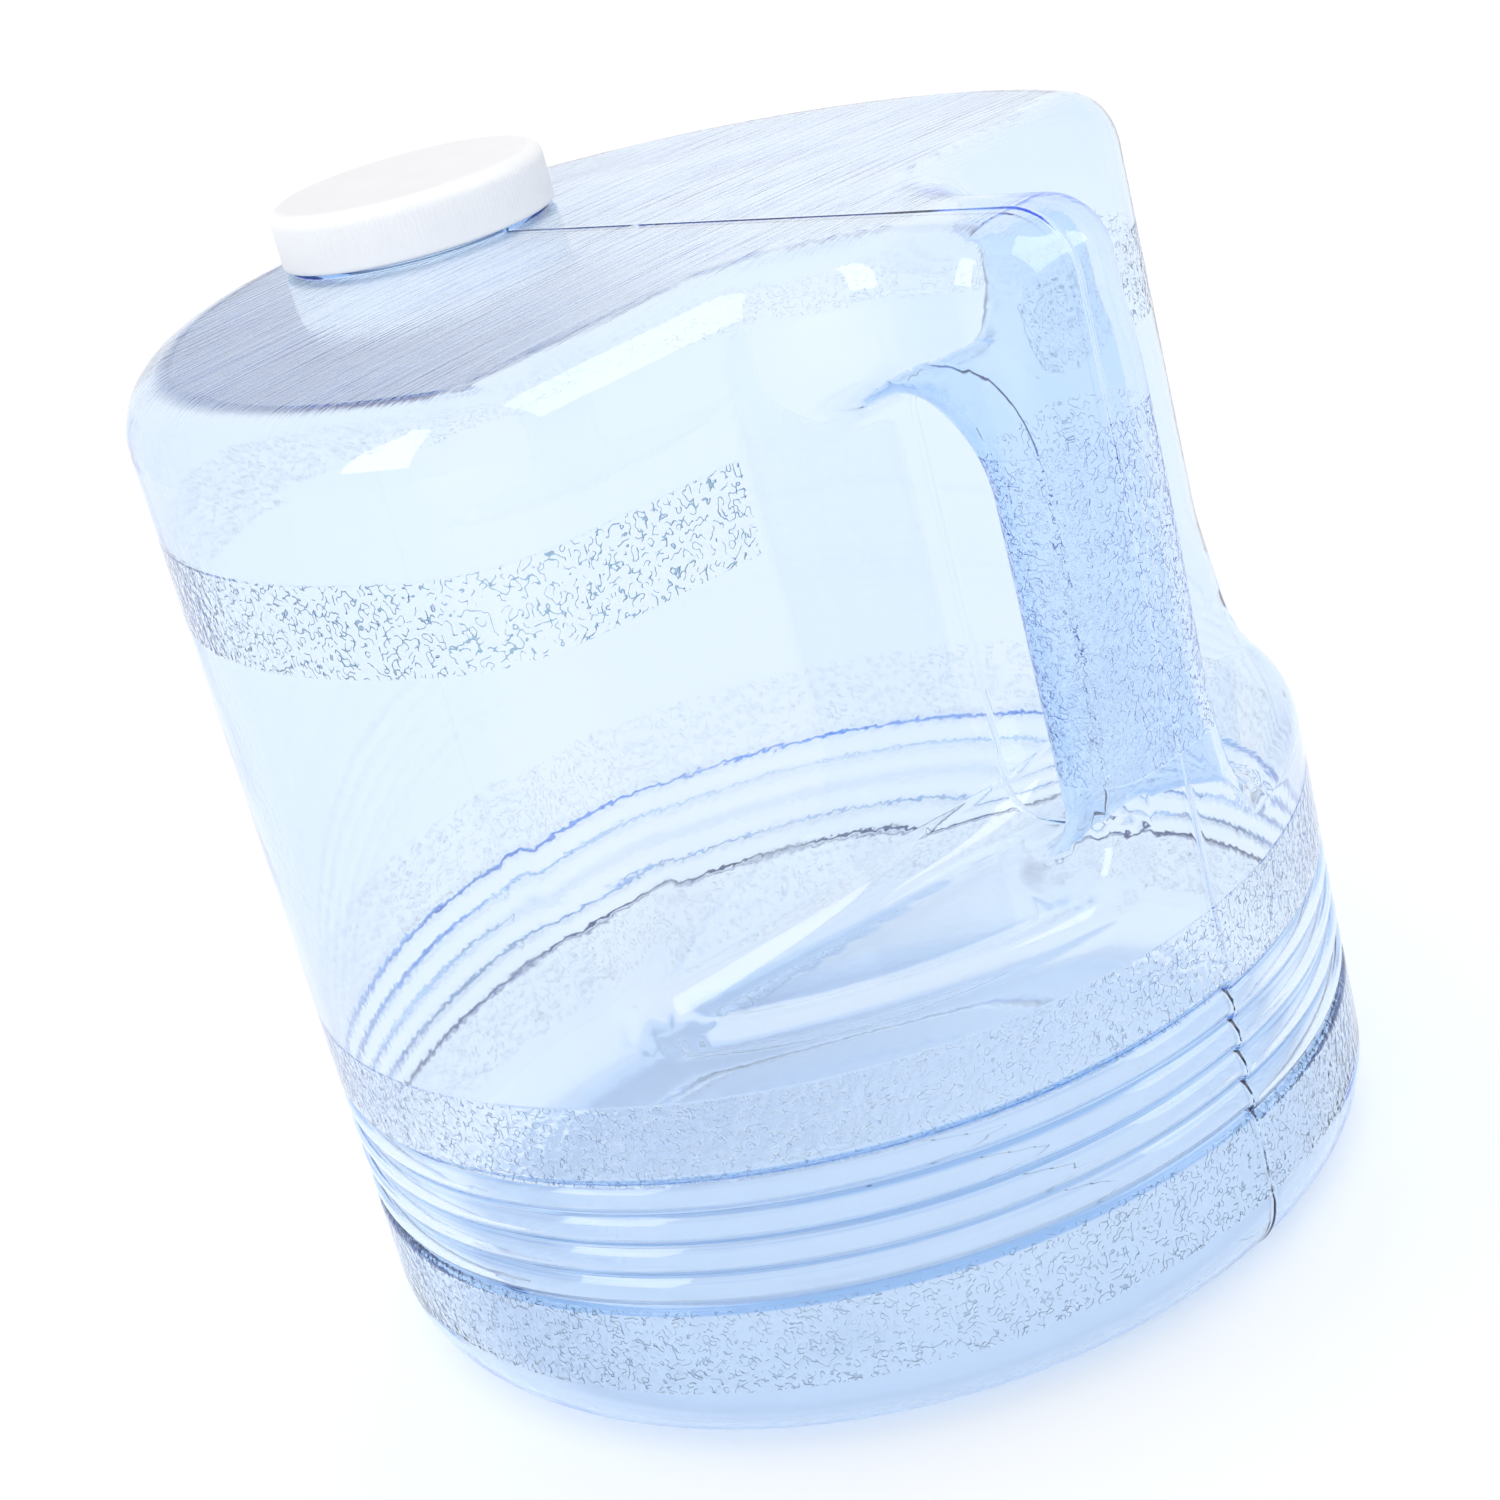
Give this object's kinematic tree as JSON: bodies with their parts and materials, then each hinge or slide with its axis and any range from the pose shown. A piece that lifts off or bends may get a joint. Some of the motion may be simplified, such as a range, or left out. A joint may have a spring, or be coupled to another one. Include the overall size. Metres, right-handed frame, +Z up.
{
  "type": "large water jug",
  "caption": "Round clear jug for drinking water, with a moulded-in upright handle set in a pocket and an offset screw cap.",
  "frame": {"origin": "on the floor, under the middle of the round body", "axes": "+Z up along the round body's axis, +X towards the handle, the neck and cap on the -X side"},
  "size_m": [0.22, 0.22, 0.2347],
  "materials": {
    "clear_blue": "clear gloss",
    "white_plastic": "satin",
    "white_foam": "matt"
  },
  "bodies": {
    "jug": {"jug_body": "clear_blue"},
    "liner": {"cap_liner": "white_foam"},
    "cap": {"screw_cap": "white_plastic"}
  },
  "joints": [
    {"name": "cap_lift", "type": "slide", "parent": "jug", "child": "liner", "axis": [0, 0, 1], "range_m": [0, 0.01]},
    {"name": "cap_turn", "type": "hinge", "parent": "liner", "child": "cap", "pos_m": [-0.0684, 0, 0.2284], "axis": [0, 0, 1], "range_deg": [0, 720]}
  ],
  "couplings": [
    {"joint": "cap_lift", "follows": "cap_turn", "m_per_rad": 0.00079577}
  ]
}
